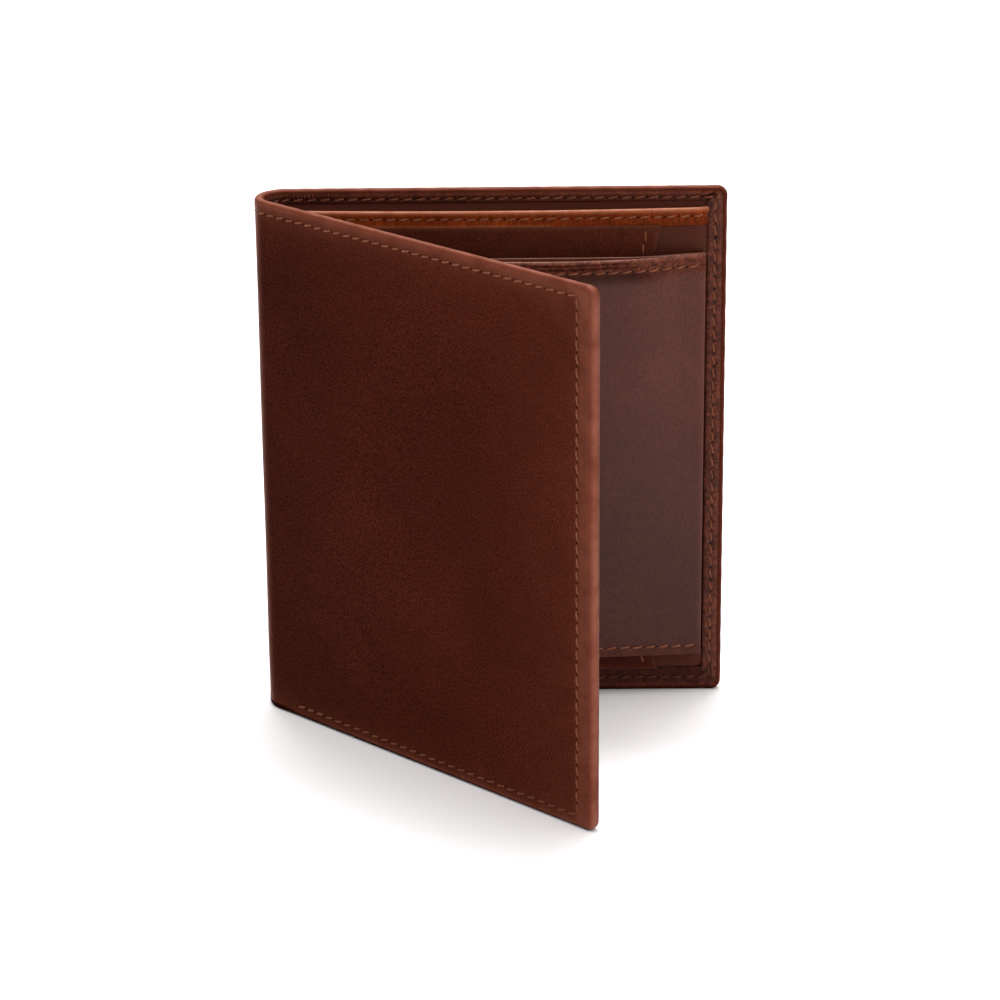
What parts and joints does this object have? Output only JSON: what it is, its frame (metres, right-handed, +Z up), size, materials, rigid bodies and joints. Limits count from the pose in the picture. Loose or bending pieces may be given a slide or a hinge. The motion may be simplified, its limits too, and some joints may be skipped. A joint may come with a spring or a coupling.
{
  "type": "bifold wallet",
  "caption": "Upright leather bifold wallet standing half open, with a note compartment, a slip pocket, card slots and a sewn-in swing flap between its two leaves.",
  "frame": {"origin": "on the floor, at the middle of the box round the half-open wallet", "axes": "+Z up the wallet's height; +X along the back leaf from the fold to its free edge; +Y out of the back leaf's outer face"},
  "size_m": [0.0998, 0.0762, 0.115],
  "materials": {
    "cover_leather": "burnished smooth grain, satin",
    "band_leather": "polished, rolled edge",
    "pocket_leather": "smooth, satin",
    "flap_leather": "smooth, semi-gloss",
    "lining": "fine woven",
    "panel_lining": "smooth ribbed weave",
    "board": "bonded fibre, matt",
    "sewing_thread": "waxed twist"
  },
  "bodies": {
    "back": {"cover_back": "cover_leather", "stiffener_back": "board", "lining_back": "lining", "panel_back": "panel_lining", "band_back": "band_leather", "slip_pocket": "pocket_leather", "flap_root": "flap_leather", "edge_thread_back": "sewing_thread", "edge_bobbin_back": "sewing_thread", "band_thread_back": "sewing_thread", "slip_thread": "sewing_thread"},
    "spine": {"cover_spine": "cover_leather", "lining_spine": "lining", "panel_spine": "panel_lining", "band_spine": "band_leather", "edge_thread_spine": "sewing_thread", "edge_bobbin_spine": "sewing_thread", "band_thread_spine": "sewing_thread"},
    "front": {"cover_front": "cover_leather", "stiffener_front": "board", "lining_front": "lining", "panel_front": "panel_lining", "band_front": "band_leather", "card_slot_top": "pocket_leather", "card_slot_middle": "pocket_leather", "card_slot_bottom": "pocket_leather", "edge_thread_front": "sewing_thread", "edge_bobbin_front": "sewing_thread", "band_thread_front": "sewing_thread"},
    "flap": {"flap_back": "flap_leather", "flap_divider": "lining", "flap_front": "flap_leather", "flap_thread_top": "sewing_thread", "flap_thread_bottom": "sewing_thread", "flap_bobbin_top": "sewing_thread", "flap_bobbin_bottom": "sewing_thread"}
  },
  "joints": [
    {"name": "back_fold", "type": "hinge", "parent": "back", "child": "spine", "pos_m": [-0.04662, 0.03648, 0], "axis": [0, 0, -1], "range_deg": [-19.5, 68]},
    {"name": "front_fold", "type": "hinge", "parent": "spine", "child": "front", "pos_m": [-0.04924, 0.02998, 0], "axis": [0, 0, -1], "range_deg": [-19.5, 68]},
    {"name": "flap_swing", "type": "hinge", "parent": "back", "child": "flap", "pos_m": [0.04489, 0.03358, 0], "axis": [0, 0, 1], "range_deg": [-2, 167]}
  ],
  "couplings": [
    {"joint": "front_fold", "follows": "back_fold", "ratio": 1}
  ]
}
